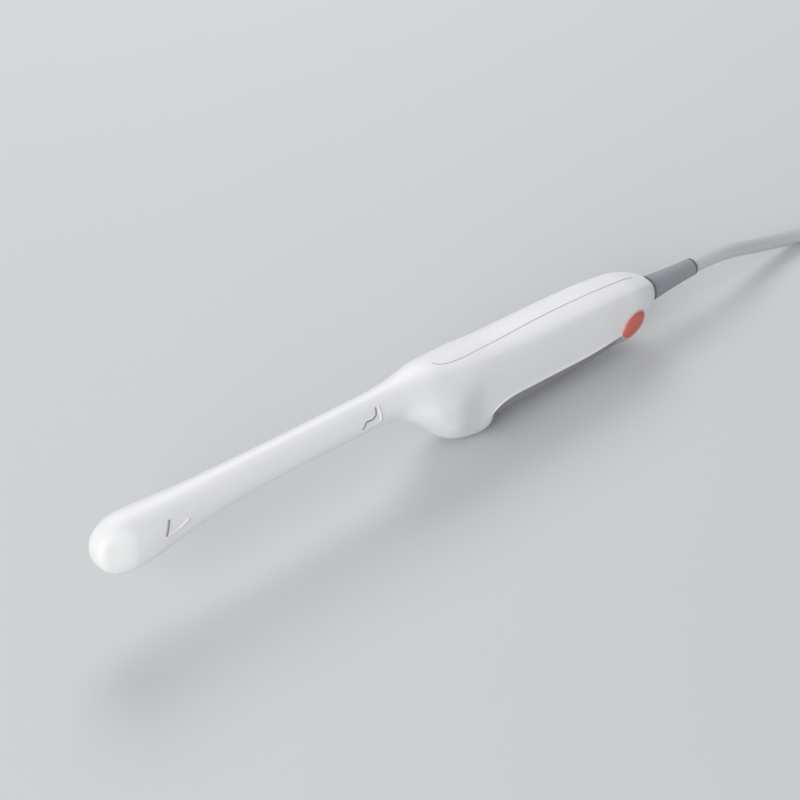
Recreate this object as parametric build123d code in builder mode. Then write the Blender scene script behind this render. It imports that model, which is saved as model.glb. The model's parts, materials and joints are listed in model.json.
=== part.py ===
"""Endocavity ultrasound probe with its cable and system connector, in millimetres.

The probe is drawn with its shaft along X: x runs from the tip of the head to the end of the
strain relief, z = 0 is the axis of the shaft, and Y = 0 is the plane on which the two half
shells part. Each piece of the probe is then set down on the floor, leaned back a little onto
its guard bulge, with the origin under the middle of the probe. The cable and the connector
are drawn where they lie.
"""

import os
from math import cos, pi, radians, sin, sqrt, tan

from build123d import *

# Head
tip_z = -1.7
tip_half_width = 3.2
nose_length = 14.0
nose_angles = [7, 20, 36, 54, 74]
head_top = 8.9
head_bottom = -15.2
head_half_width = 8.9

# Shaft
shaft_radius = 7.4
shaft_start = 78.0
shaft_length = 54.0
shaft_end = shaft_start + shaft_length

# Guard bulge and handle
neck_length = 14.0
neck_x = shaft_end + neck_length
bulge_reach = 41.5
bulge_x = neck_x + bulge_reach
bulge_depth = 34.0
handle_half_width = 12.4
bulge_run = 14.5
handle_front_x = bulge_x + bulge_run
handle_length = 54.0
handle_rear_x = handle_front_x + handle_length
crown_front = 8.8
crown_rear = 4.8
belly_front = 29.0
belly_rear = 25.7
rim_z = -17.4
side_draft = 0.06
crown_arch = 1.0
tail_length = 36.0
body_length = handle_rear_x + tail_length
tail_round = 16.0
wall = 2.2
station_pitch = 7.0
hollow_pitch = 10.0
skirt_step = 1.2

# Array and lens, all on arcs about one centre
array_x = 12.0
array_z = -2.9
lens_radius = 12.3
lens_thickness = 1.8
lens_half_width = 4.2
lens_half_angle = 92.0
layer_thickness = 0.5
crystal_thickness = 0.7
crystal_half_width = 3.4
array_half_angle = 72.0
backing_end = 17.0
backing_half_height = 6.0
flex_thickness = 0.3
flex_end = shaft_start - 20
carrier_thickness = 3.0
mark_depth = 0.5
seam_width = 0.6
seam_depth = 0.5
seam_front = neck_x + 27
seam_rear = body_length - 10.5

# Wiring in the shaft and handle
bundle_radius = 4.4
bundle_drop = 3.4
shield_start = shaft_start - 8
shield_end = shaft_end + 4
shield_wall = 0.4
seal_x = shaft_end + 6
seal_thickness = 4.0
slip = 0.05
board_start = neck_x + 26
board_length = handle_rear_x + 6 - board_start
harness_length = 14.0
harness_width = 15.0
board_width = 14.0
board_thickness = 1.6
board_z = -10.1
can_width = 10.6
can_height = 8.0
connector_pitch = 15.0
can_wall = 0.4
rib_thickness = 1.6
boss_radius = 2.6
pin_radius = 1.2
pin_length = 3.0

# Cable and strain relief
cable_radius = 3.2
boot_z = -9.3
boot_inset = 8.0
boot_start = body_length - boot_inset
boot_length = 34.7
boot_end = boot_start + boot_length
boot_root_radius = 5.7
boot_tip_radius = 3.8
boot_neck_radius = 5.0
boot_flange_radius = 6.8
boot_flange_length = 3.0
ferrule_length = 4.0
ferrule_wall = 0.8
clamp_start = boot_start - 15
clamp_length = 9.0
clamp_height = 12.0
screw_y = 5.9
screw_radius = 1.0
screw_head_radius = 1.8
screw_head_height = 1.3

# Orientation marker
marker_x = body_length - 19.5
marker_z = -13.2
marker_half_length = 8.0
marker_half_height = 4.7
marker_tilt = 26.0
marker_toe = 4.4
marker_proud = 0.25
marker_depth = 1.0

# Lean of the probe on its bulge
lean = 2.5

# Hank of the put-away cable and its tie
hank_start = 283.0
hank_straight = 60.0
hank_columns = 2
hank_layers = 4
hank_inner_radius = 16.3
tie_width = 16.0
tie_thickness = 1.0

# System connector
plug_start = 449.0
plug_length = 78.0
plug_width = 58.0
plug_corner = 8.0
plug_wall = 2.4
base_bottom = 7.0
base_top = 18.0
cover_top = 33.0
cover_round = 4.0
shell_length = 54.0
shell_width = 40.0
shell_wall = 1.6
shell_corner = 6.0
shell_lip = 1.6
contact_recess = 3.0
contact_top = 12.0
contact_columns = 3
contact_rows = 6
contact_pitch = 4.6
contact_size = 1.0
contact_start = 11.5
plug_board_length = 60.0
plug_board_width = 44.0
plug_boss_radius = 2.4
boss_x = 34.0
boss_y = 24.0
screw_end = 22.0
outlet_y = -15.0
outlet_boot = 13.0
outlet_tip_radius = 4.2
outlet_root_radius = 5.6
outlet_neck_radius = 4.4
lock_radius = 4.0
lock_collar_radius = 6.5
lock_collar = 1.5
lock_bar_length = 15.0
lock_bar_width = 5.0
lock_bar_height = 1.6
knob_radius = 15.0
knob_height = 5.0
knob_socket = 4.0
grip_length = 38.0
grip_width = 9.0
grip_height = 10.0
running_gap = 0.3

os.makedirs("parts", exist_ok=True)


def through(knots, x):
    """Height at x of a smooth curve through the knots, without overshoot between them."""
    steps = [(b[1] - a[1]) / (b[0] - a[0]) for a, b in zip(knots, knots[1:])]
    inner = [0 if a * b <= 0 else 2 * a * b / (a + b) for a, b in zip(steps, steps[1:])]
    slopes = [steps[0]] + inner + [steps[-1]]
    if x <= knots[0][0]:
        return knots[0][1]
    for (x0, v0), (x1, v1), m0, m1 in zip(knots, knots[1:], slopes, slopes[1:]):
        if x <= x1:
            h = x1 - x0
            q = (x - x0) / h
            ends = (1 + 2 * q) * (1 - q) ** 2 * v0 + q * q * (3 - 2 * q) * v1
            return ends + q * (1 - q) * h * ((1 - q) * m0 - q * m1)
    return knots[-1][1]


# Master curves of the housing: where it is highest, lowest and widest along the probe
crown_line = [
    (nose_length, head_top),
    (32, shaft_radius + 0.6),
    (48, shaft_radius + 0.1),
    (shaft_start, shaft_radius),
    (shaft_end, shaft_radius),
    (neck_x, shaft_radius + 0.4),
    (neck_x + 18, crown_front),
    (bulge_x - 13, crown_front - 0.7),
    (handle_front_x, crown_rear + 1.3),
    (handle_rear_x - 18, crown_rear + 0.6),
    (handle_rear_x, crown_rear),
    (body_length - tail_round, crown_rear - 1.7),
    (body_length, crown_rear - 3.2),
]
belly_line = [
    (nose_length, head_bottom),
    (nose_length + 6, head_bottom),
    (30, head_bottom + 1.7),
    (46, head_bottom + 4.7),
    (60, -shaft_radius - 1.5),
    (shaft_start, -shaft_radius - 0.5),
    (shaft_start + 25, -shaft_radius),
    (shaft_end, -shaft_radius - 0.2),
    (neck_x - 6, -shaft_radius - 1.1),
    (neck_x + 2, -shaft_radius - 2.8),
    (bulge_x - 32.5, -0.4 * bulge_depth),
    (bulge_x - 25.5, -0.59 * bulge_depth),
    (bulge_x - 19.5, -0.78 * bulge_depth),
    (bulge_x - 13.5, -0.905 * bulge_depth),
    (bulge_x - 6.5, -0.98 * bulge_depth),
    (bulge_x, -bulge_depth),
    (bulge_x + 4.5, -0.945 * bulge_depth),
    (bulge_x + 9, -belly_front - 0.6),
    (handle_front_x, -belly_front),
    (handle_rear_x - 18, -belly_rear - 1.5),
    (handle_rear_x, -belly_rear),
    (body_length - tail_round, -belly_rear + 2.7),
    (body_length, -belly_rear + 4.5),
]
width_line = [
    (nose_length, head_half_width),
    (22, head_half_width + 0.1),
    (32, head_half_width - 0.2),
    (48, shaft_radius + 0.7),
    (62, shaft_radius + 0.3),
    (shaft_start, shaft_radius),
    (shaft_end + 4, shaft_radius),
    (neck_x, shaft_radius + 0.8),
    (neck_x + 9, handle_half_width - 2.6),
    (neck_x + 17, handle_half_width - 1.1),
    (neck_x + 27, handle_half_width - 0.3),
    (bulge_x, handle_half_width),
    (handle_rear_x - 18, handle_half_width - 0.1),
    (handle_rear_x, handle_half_width - 0.3),
    (body_length - tail_round, handle_half_width - 1.2),
    (body_length, handle_half_width - 2.4),
]
widest_line = [
    (nose_length, array_z),
    (48, -1.6),
    (shaft_start, 0),
    (shaft_end + 4, 0),
    (neck_x + 10, -4),
    (neck_x + 30, rim_z + 3.4),
    (handle_front_x - 6, rim_z),
    (handle_rear_x - 16, rim_z),
    (body_length - tail_round, rim_z + 2.2),
    (body_length, rim_z + 5),
]
top_power_line = [
    (nose_length, 2.8),
    (60, 2.15),
    (shaft_start + 7, 2),
    (shaft_end + 4, 2),
    (neck_x + 22, 3.8),
    (bulge_x + 2.5, 6.5),
    (handle_rear_x - 16, 8),
    (body_length - tail_round, 6.5),
    (body_length, 4),
]
low_power_line = [
    (nose_length, 2.8),
    (60, 2.15),
    (shaft_start + 7, 2),
    (shaft_end + 4, 2),
    (neck_x + 30, 2.3),
    (bulge_x + 8.5, 2.5),
    (handle_rear_x - 16, 2.7),
    (body_length, 2.4),
]
draft_line = [(neck_x, 0), (handle_front_x, side_draft)]
arch_line = [(neck_x, 0), (handle_front_x, crown_arch)]


def section(x, inset=0.0):
    """Half outline of the housing at x as four Bezier curves from the crown round to the belly."""
    nose = min(1.0, max(0.0, (x - inset) / (nose_length - inset)))
    tail = min(1.0, max(0.0, (body_length - inset - x) / (tail_round - inset)))
    swell = sqrt(1 - (1 - nose) ** 2)
    close = sqrt(1 - (1 - tail) ** 2)
    top = through(crown_line, x) - inset
    low = through(belly_line, x) + inset
    half = through(width_line, x) - inset
    level = through(widest_line, x)
    if swell < 1:
        top = tip_z + (top - tip_z) * swell
        low = tip_z + (low - tip_z) * swell
        level = tip_z + (level - tip_z) * swell
        half = tip_half_width - inset / 2 + (half - tip_half_width + inset / 2) * swell
    if close < 1:
        end_radius = boot_root_radius + 0.6 - inset / 2
        top = boot_z + end_radius + (top - boot_z - end_radius) * close
        low = boot_z - end_radius + (low - boot_z + end_radius) * close
        level = boot_z + (level - boot_z) * close
        half = end_radius + (half - end_radius) * close
    draft = through(draft_line, x)
    arch = through(arch_line, x)

    def quarter(power, end):
        """Control points from the crown or the belly to the widest line, fuller as the power grows."""
        corner = 0.5 ** (1 / power)
        pull = 0.64 + 0.21 * (1 - (1 - corner) / 0.2929)
        meet = 2 * corner - 1
        shape = [(0, 1), (pull * meet, 1), (corner - pull * (1 - corner), corner + pull * (1 - corner)),
                 (corner, corner)]
        shape += [(z, y) for y, z in reversed(shape[:-1])]
        spots = []
        for y, z in shape:
            fall = draft * z if end > level else 0
            sag = arch * y * y * z if end > level else 0
            spots.append((half * y * (1 - fall), level + (end - level) * z - sag))
        return spots

    upper = quarter(through(top_power_line, x), top)
    lower = quarter(through(low_power_line, x), low)[::-1]
    return [upper[:4], upper[3:], lower[:4], lower[3:]]


def stations(inset=0.0, start=0.0, end=body_length, pitch=station_pitch):
    """Where sections are drawn: evenly along the body, and closer where the nose and the tail close."""
    nose = [inset + (nose_length - inset) * (1 - cos(radians(a))) for a in nose_angles]
    tail = [body_length - inset - (tail_round - inset) * (1 - cos(radians(a))) for a in nose_angles]
    spans = round((body_length - tail_round - nose_length) / pitch)
    body = [nose_length + (body_length - tail_round - nose_length) * i / spans for i in range(spans + 1)]
    return [x for x in nose + body + tail[::-1] if start <= x <= end]


def form(places, inset=0.0):
    """Near half of the housing's form through the sections at these places, flat on the parting plane."""
    wires = []
    for x in places:
        curves = section(x, inset)
        edges = [Edge.make_bezier(*[Vector(x, -y, z) for y, z in curve]) for curve in curves]
        edges.append(Edge.make_line(Vector(x, 0, curves[-1][-1][1]), Vector(x, 0, curves[0][0][1])))
        wires.append(Wire(edges))
    return Solid.make_loft(wires)


def both_sides(part):
    """The near half and its mirror image as one piece."""
    return part + mirror(part, about=Plane.XZ)


def arc_band(inner, outer, half_angle):
    """Band of the array between two radii, as wide as the angle either side of the tip."""
    far = 2 * outer
    back = -far * cos(radians(half_angle))
    side = far * sin(radians(half_angle))
    with BuildSketch(Plane.XZ) as band:
        with Locations((array_x, array_z)):
            Circle(outer)
            if inner > 0:
                Circle(inner, mode=Mode.SUBTRACT)
            Polygon((0, 0), (back, side), (-far, side), (-far, -side), (back, -side), align=None,
                    mode=Mode.INTERSECT)
    return band.sketch


def slab(profile, half_width):
    """The profile made into a solid as far to each side of the parting plane."""
    with BuildPart() as solid:
        extrude(profile, amount=half_width, dir=(0, 1, 0), both=True)
    return solid.part


def prism(x0, x1, y0, y1, z0, z1):
    """Box between these limits."""
    with BuildPart() as box:
        with Locations(((x0 + x1) / 2, (y0 + y1) / 2, (z0 + z1) / 2)):
            Box(x1 - x0, y1 - y0, z1 - z0)
    return box.part


def filling(x0, x1):
    """Slice of what fits inside the housing, with a little play."""
    inset = wall + slip
    return both_sides(prism(x0, x1, -20, 0, -40, 20) & form(stations(inset, pitch=hollow_pitch), inset))


def rod(x0, x1, radius, z=0.0):
    """Round bar along X."""
    with BuildPart() as bar:
        with BuildSketch(Plane.YZ.offset(x0)):
            with Locations((0, z)):
                Circle(radius)
        extrude(amount=x1 - x0)
    return bar.part


# The housing's form, its hollow and the window for the lens
outer = form(stations())
hollow = form(stations(wall, pitch=hollow_pitch), wall)
lens_inner = lens_radius - lens_thickness
window = slab(arc_band(lens_inner, 2 * lens_radius, lens_half_angle), lens_half_width)
stack_window = slab(arc_band(0, 2 * lens_radius, array_half_angle), crystal_half_width + flex_thickness)

# The guard bulge ends in a rim, and behind it the underside is stepped in below the widest line
skirt = form(stations(skirt_step, neck_x + 19, body_length - 8), skirt_step)
with BuildPart() as below_rim:
    with BuildSketch(Plane.XZ):
        with BuildLine():
            Spline((bulge_x + 5, -bulge_depth - 4), (bulge_x + 2.6, -27), (bulge_x + 2.2, -22),
                   (bulge_x + 4, -18.4), (handle_front_x - 4, rim_z), tangents=[(-0.5, 1), (1, 0)])
            Polyline((handle_front_x - 4, rim_z), (handle_rear_x - 16, rim_z),
                     (handle_rear_x + 10, rim_z + 1.6), (handle_rear_x + 12, -bulge_depth - 4),
                     (bulge_x + 5, -bulge_depth - 4))
        make_face()
    extrude(amount=2 * handle_half_width, both=True)
near = (outer - below_rim.part) + (skirt & below_rim.part)

# Guide marks on the side of the head and the shaft
with BuildPart() as head_mark:
    with BuildSketch(Plane.XZ.offset(head_half_width - 1.1)):
        Polygon((28.6, 3.6), (30.2, 3.2), (28.3, -1.7), (33.7, -1.2), (38.2, 0.4), (38.7, -0.9),
                (34.0, -2.6), (25.9, -3.6), align=None)
    extrude(amount=head_half_width)
with BuildPart() as shaft_mark:
    with BuildSketch(Plane.XZ):
        with Locations((shaft_end, 0)):
            Polygon((3.7, 5.2), (1.7, 5.2), (0.6, 2.7), (-1.0, 1.7), (-4.6, 1.9), (-7.0, -0.8),
                    (1.0, -0.9), (3.0, -0.5), (3.2, 1.9), align=None)
    extrude(amount=2 * head_half_width)
    with Locations(Location((shaft_end - 2, 0, 0), (0, 90, 0))):
        Cylinder(shaft_radius - mark_depth, 30, mode=Mode.SUBTRACT)

# Parting groove along the crown
groove_places = [seam_front, bulge_x + 0.5, handle_front_x, handle_front_x + handle_length / 3,
                 handle_rear_x - handle_length / 3, handle_rear_x, handle_rear_x + 14, seam_rear]
groove_line = [(x, through(crown_line, x) - seam_depth) for x in groove_places]
with BuildPart() as groove:
    with BuildSketch(Plane.XZ):
        with BuildLine():
            Spline(*groove_line)
            Polyline(groove_line[-1], (seam_rear, 12), (seam_front, 12), groove_line[0])
        make_face()
    extrude(amount=seam_width / 2, both=True)

# Pocket of the orientation marker, its floor along the side of the handle
marker_half_width = through(width_line, marker_x)
marker_at = Location((marker_x, -marker_half_width + marker_depth, marker_z), (0, 0, marker_toe))
marker_at = marker_at * Location((0, 0, 0), (0, -marker_tilt, 0))


def marker_prism(clearance):
    """Oval block that stands out from the floor of the marker's pocket."""
    with BuildPart() as block:
        with BuildSketch(Plane.XZ):
            Ellipse(marker_half_length + clearance, marker_half_height + clearance)
        extrude(amount=4)
    return marker_at * block.part


# The near half of the housing: outside first, then hollowed, with ribs for the board and bosses
# for the pins
tail_hole = rod(boot_start, body_length + 1, boot_neck_radius + slip, boot_z)
for cut in (head_mark.part, shaft_mark.part, groove.part, window, tail_hole):
    near = near - cut
near = near - (hollow + stack_window)
board_rear = board_start + board_length
rib_places = [(x, 0, board_z) for x in (board_start + 24, board_start + 52, board_start + 80)]
pin_spots = [(neck_x + 17, -15), (handle_front_x + 4, -20), (handle_rear_x - 6, -19)]
pin_places = [Location((x, 0, z), (90, 0, 0)) for x, z in pin_spots]
with BuildPart() as ribs:
    with Locations(*rib_places):
        Box(rib_thickness, 2 * handle_half_width, 7, align=(Align.CENTER, Align.MAX, Align.CENTER))
        Box(rib_thickness, board_width - 2, 7, mode=Mode.SUBTRACT)
        Box(rib_thickness, board_width + 2 * slip, board_thickness + 2 * slip, mode=Mode.SUBTRACT)
with BuildPart() as bosses:
    with Locations(*pin_places):
        Cylinder(boss_radius, 2 * handle_half_width, align=(Align.CENTER, Align.CENTER, Align.MIN))
with BuildPart() as pins:
    with Locations(*pin_places):
        Cylinder(pin_radius, pin_length, align=(Align.CENTER, Align.CENTER, Align.MIN))
with BuildPart() as pin_holes:
    with Locations(*pin_places):
        Cylinder(pin_radius + slip, pin_length + 0.2, align=(Align.CENTER, Align.CENTER, Align.MIN))
core = form(stations(wall - 0.6, neck_x - 1), wall - 0.6)
near = near + ((ribs.part + bosses.part) & core)
with BuildPart() as right_housing:
    add(near)
    add(marker_prism(slip), mode=Mode.SUBTRACT)
    add(pin_holes.part, mode=Mode.SUBTRACT)
with BuildPart() as left_housing:
    add(mirror(near, about=Plane.XZ))
    add(pins.part)
for half in (left_housing, right_housing):
    print("housing half", len(half.part.solids()), half.part.is_valid, round(half.part.volume))

# Orientation marker, seated in its pocket and standing a little proud of the side
with BuildPart() as orientation_marker:
    add(marker_prism(0))
    add(form(stations(-marker_proud, marker_x - 32.5), -marker_proud), mode=Mode.INTERSECT)

# Lens and the array behind it
with BuildPart() as acoustic_lens:
    lens_band = arc_band(lens_inner, lens_radius, lens_half_angle)
    extrude(lens_band, amount=lens_half_width - slip, dir=(0, 1, 0), both=True)
    round_edges = acoustic_lens.edges().filter_by(GeomType.CIRCLE)
    crown_edges = [e for e in round_edges if e.radius > lens_radius - 0.1]
    fillet(crown_edges, 1.0)
layer_radius = lens_inner - layer_thickness
crystal_radius = layer_radius - crystal_thickness
with BuildPart() as matching_layer:
    layer_band = arc_band(layer_radius, lens_inner, array_half_angle)
    extrude(layer_band, amount=crystal_half_width, dir=(0, 1, 0), both=True)
with BuildPart() as piezo_array:
    crystal_band = arc_band(crystal_radius, layer_radius, array_half_angle)
    extrude(crystal_band, amount=crystal_half_width, dir=(0, 1, 0), both=True)
with BuildPart() as backing_block:
    backing_band = arc_band(0, crystal_radius, array_half_angle)
    extrude(backing_band, amount=crystal_half_width, dir=(0, 1, 0), both=True)
    add(prism(array_x - 1, backing_end, -crystal_half_width, crystal_half_width, array_z - backing_half_height,
              array_z + backing_half_height))

# The array's carrier fills the head behind the backing and lets the two flex circuits through
flex_y = crystal_half_width + flex_thickness / 2
with BuildPart() as flex_circuits:
    for side in (-1, 1):
        with BuildSketch(Plane.XZ.offset(-side * flex_y)):
            Polygon((8, array_z - 5), (8, array_z + 5), (24, array_z + 5), (34, 2.2), (flex_end, 2.2),
                    (flex_end, -2.2),
                    (34, -6), (24, array_z - 5), align=None)
        extrude(amount=flex_thickness / 2, both=True)
carrier_end = backing_end + carrier_thickness
with BuildPart() as array_carrier:
    add(filling(backing_end, carrier_end))
    for side in (-1, 1):
        add(prism(backing_end - 1, carrier_end + 1, side * flex_y - flex_thickness / 2 - slip,
                  side * flex_y + flex_thickness / 2 + slip, array_z - 5 - slip, array_z + 5 + slip),
            mode=Mode.SUBTRACT)

# Coax bundle from the flex circuits to the plug on the board, its shield and the seal behind the shaft
with BuildPart() as coax_bundle:
    with BuildLine():
        FilletPolyline((flex_end, 0, 0), (neck_x, 0, 0), (board_start - 8, 0, -bundle_drop),
                       (board_start, 0, -bundle_drop), radius=30)
    with BuildSketch(Plane.YZ.offset(flex_end)):
        Circle(bundle_radius)
    sweep()
with BuildPart() as bundle_shield:
    add(rod(shield_start, shield_end, bundle_radius + slip + shield_wall))
    add(rod(shield_start - 1, shield_end + 1, bundle_radius + slip), mode=Mode.SUBTRACT)
with BuildPart() as shaft_seal:
    add(filling(seal_x, seal_x + seal_thickness))
    add(rod(seal_x - 1, seal_x + seal_thickness + 1, bundle_radius + slip), mode=Mode.SUBTRACT)
board_top = board_z + board_thickness / 2
plug_back = board_start + harness_length
with BuildPart() as harness_plug:
    add(prism(board_start, plug_back, -harness_width / 2, harness_width / 2, board_top,
              bundle_radius - bundle_drop))
    fillet(harness_plug.edges().filter_by(Axis.Z), 1)

# Board with its connectors under a shield can
with BuildPart() as interface_board:
    add(prism(board_start, board_rear, -board_width / 2, board_width / 2, board_z - board_thickness / 2,
              board_top))
can_start = plug_back + 4
can_end = can_start + 4 * connector_pitch + 2
with BuildPart() as board_connectors:
    for place in range(4):
        first = can_start + 4 + place * connector_pitch
        add(prism(first, first + 10, -4, 4, board_top, board_top + 3))
with BuildPart() as shield_can:
    add(prism(can_start, can_end, -can_width / 2, can_width / 2, board_top, board_top + can_height))
    fillet(shield_can.edges().filter_by(Axis.Z), 0.8)
    add(prism(can_start + can_wall, can_end - can_wall, can_wall - can_width / 2, can_width / 2 - can_wall,
              board_top - 1, board_top + can_height - can_wall), mode=Mode.SUBTRACT)

# Cable end, ferrule, clamp with its screws, and strain relief
with BuildPart() as cable_lead_in:
    add(rod(board_rear, boot_end, cable_radius, boot_z))
with BuildPart() as braid_ferrule:
    add(rod(board_rear + 1, board_rear + 1 + ferrule_length, cable_radius + slip + ferrule_wall, boot_z))
    add(rod(board_rear, board_rear + 2 + ferrule_length, cable_radius + slip, boot_z), mode=Mode.SUBTRACT)
clamp_end = clamp_start + clamp_length
clamp_middle = (clamp_start + clamp_end) / 2
clamp_form = filling(clamp_start, clamp_end)
clamp_top = boot_z + clamp_height / 2
with BuildPart() as cable_clamp_upper:
    add(prism(clamp_start, clamp_end, -20, 20, boot_z, clamp_top))
    add(clamp_form, mode=Mode.INTERSECT)
    add(rod(clamp_start - 1, clamp_end + 1, cable_radius + slip, boot_z), mode=Mode.SUBTRACT)
    with Locations((clamp_middle, -screw_y, clamp_top), (clamp_middle, screw_y, clamp_top)):
        Cylinder(screw_radius + slip, 3 * clamp_height, mode=Mode.SUBTRACT)
with BuildPart() as cable_clamp_lower:
    add(prism(clamp_start, clamp_end, -20, 20, boot_z - clamp_height / 2, boot_z))
    add(clamp_form, mode=Mode.INTERSECT)
    add(rod(clamp_start - 1, clamp_end + 1, cable_radius + slip, boot_z), mode=Mode.SUBTRACT)
    with Locations((clamp_middle, -screw_y, boot_z), (clamp_middle, screw_y, boot_z)):
        Cylinder(screw_radius + slip, clamp_height - 2, mode=Mode.SUBTRACT)
with BuildPart() as clamp_screws:
    with Locations((clamp_middle, -screw_y, clamp_top), (clamp_middle, screw_y, clamp_top)):
        Cylinder(screw_head_radius, screw_head_height, align=(Align.CENTER, Align.CENTER, Align.MIN))
        Cylinder(screw_radius, clamp_height - 2.2, align=(Align.CENTER, Align.CENTER, Align.MAX))
with BuildPart() as strain_relief:
    with BuildSketch(Plane.XZ):
        with BuildLine():
            Polyline((boot_start, cable_radius + slip), (boot_start, boot_flange_radius),
                     (boot_start + boot_flange_length, boot_flange_radius),
                     (boot_start + boot_flange_length, boot_neck_radius),
                     (body_length, boot_neck_radius), (body_length, boot_root_radius))
            ThreePointArc((body_length, boot_root_radius), (body_length + 10, boot_root_radius - 0.95),
                          (boot_end - 1, boot_tip_radius + 0.1))
            Polyline((boot_end - 1, boot_tip_radius + 0.1), (boot_end, boot_tip_radius - 0.5),
                     (boot_end, cable_radius + slip), (boot_start, cable_radius + slip))
        make_face()
    revolve(axis=Axis.X)
strain_relief.part.position = (0, 0, boot_z)

# The probe lies on its bulge, leaned back, with the origin under its middle
front_x = array_x - lens_radius
tail_x = boot_end * cos(radians(lean)) + (boot_z + boot_tip_radius) * sin(radians(lean))
lowest = (Location((0, 0, 0), (0, lean, 0)) * right_housing.part).bounding_box().min.Z
rest = Location((-(front_x + tail_x) / 2, 0, -lowest), (0, lean, 0))
probe_pieces = {
    "left_housing": left_housing.part,
    "right_housing": right_housing.part,
    "orientation_marker": orientation_marker.part,
    "acoustic_lens": acoustic_lens.part,
    "matching_layer": matching_layer.part,
    "piezo_array": piezo_array.part,
    "backing_block": backing_block.part,
    "array_carrier": array_carrier.part,
    "flex_circuits": flex_circuits.part,
    "coax_bundle": coax_bundle.part,
    "bundle_shield": bundle_shield.part,
    "shaft_seal": shaft_seal.part,
    "harness_plug": harness_plug.part,
    "interface_board": interface_board.part,
    "board_connectors": board_connectors.part,
    "shield_can": shield_can.part,
    "cable_lead_in": cable_lead_in.part,
    "braid_ferrule": braid_ferrule.part,
    "cable_clamp_upper": cable_clamp_upper.part,
    "cable_clamp_lower": cable_clamp_lower.part,
    "clamp_screws": clamp_screws.part,
    "strain_relief": strain_relief.part,
}
for name, piece in probe_pieces.items():
    placed = rest * piece
    placed.label = name
    print(name, len(placed.solids()), placed.is_valid, round(placed.volume, 1))
    export_step(placed, "parts/" + name + ".step")
exit_point = (rest * Location((boot_end, 0, boot_z))).position
print("rest", rest, "cable leaves at", exit_point)


def cord(points):
    """Cable along the route: straight runs joined by arcs as large as the runs allow."""
    spots = [Vector(*point) for point in points]
    runs = [(b - a).length for a, b in zip(spots, spots[1:])]
    turns = [(b - a).get_angle(c - b) for a, b, c in zip(spots, spots[1:], spots[2:])]
    radii = [0.45 * min(a, b) / tan(radians(turn) / 2) for a, b, turn in zip(runs, runs[1:], turns)]
    with BuildPart() as tube:
        with BuildLine() as path:
            FilletPolyline(*points, radius=radii)
        with BuildSketch(Plane(points[0], z_dir=spots[1] - spots[0])):
            Circle(cable_radius)
        sweep()
    return tube


# Cable from the strain relief down to the floor and along it to the hank
hank_width = hank_columns * 2 * cable_radius
hank_outer_radius = hank_inner_radius + hank_width
near_turn = hank_start + hank_outer_radius
far_turn = near_turn + hank_straight
leg_y = -(hank_inner_radius + hank_outer_radius) / 2
cable_route = [
    (exit_point.X, 0, exit_point.Z),
    (exit_point.X + 17, 0, exit_point.Z - 17 * tan(radians(lean))),
    (200, 0.8, 12.0),
    (226, -0.8, 4.6),
    (250, -5.0, 3.3),
    (267, -15.5, 3.3),
    (283, -22.6, 3.6),
    (298.5, -25.3, 4.25),
]
cable = cord(cable_route)
cable_tail_route = [
    (385.5, -25.3, 10.7),
    (397, -24.6, 11.2),
    (410, -20.2, 14.4),
    (424, outlet_y, base_top),
    (plug_start - outlet_boot, outlet_y, base_top),
]
cable_tail = cord(cable_tail_route)

# Hank of the cable that is put away, lying on its tie
hank_height = hank_layers * 2 * cable_radius
with BuildPart() as cable_hank:
    with BuildSketch(Plane.XY.offset(tie_thickness + slip)):
        with Locations(((near_turn + far_turn) / 2, 0)):
            SlotCenterToCenter(hank_straight, 2 * hank_outer_radius)
            SlotCenterToCenter(hank_straight, 2 * hank_inner_radius, mode=Mode.SUBTRACT)
    extrude(amount=hank_height)
    chamfer(cable_hank.edges().filter_by(Plane.XY), cable_radius)
tie_x = near_turn + 0.4 * hank_straight
with BuildPart() as cable_tie:
    with BuildSketch(Plane.YZ.offset(tie_x)):
        with Locations((leg_y, tie_thickness + slip + hank_height / 2)):
            RectangleRounded(hank_width + 2 * slip + 2 * tie_thickness,
                             hank_height + 2 * slip + 2 * tie_thickness, cable_radius + tie_thickness)
            RectangleRounded(hank_width + 2 * slip, hank_height + 2 * slip, cable_radius,
                             mode=Mode.SUBTRACT)
    extrude(amount=tie_width)

# System connector, lying on its mating face with the lock knob on top
plug_x = plug_start + plug_length / 2


def plate(length, width, corner, z0, z1):
    """Block of the connector with rounded corners between two heights."""
    with BuildPart() as block:
        with BuildSketch(Plane.XY.offset(z0)):
            with Locations((plug_x, 0)):
                RectangleRounded(length, width, corner)
        extrude(amount=z1 - z0)
    return block.part


def bore(radius, z0, z1, x=plug_x, y=0.0):
    """Upright round bar in the connector."""
    with BuildPart() as bar:
        with Locations((x, y, z0)):
            Cylinder(radius, z1 - z0, align=(Align.CENTER, Align.CENTER, Align.MIN))
    return bar.part


def lead(x0, x1, radius):
    """Round bar along the connector's cable outlet."""
    return Pos(0, outlet_y, base_top) * rod(x0, x1, radius)


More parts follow.
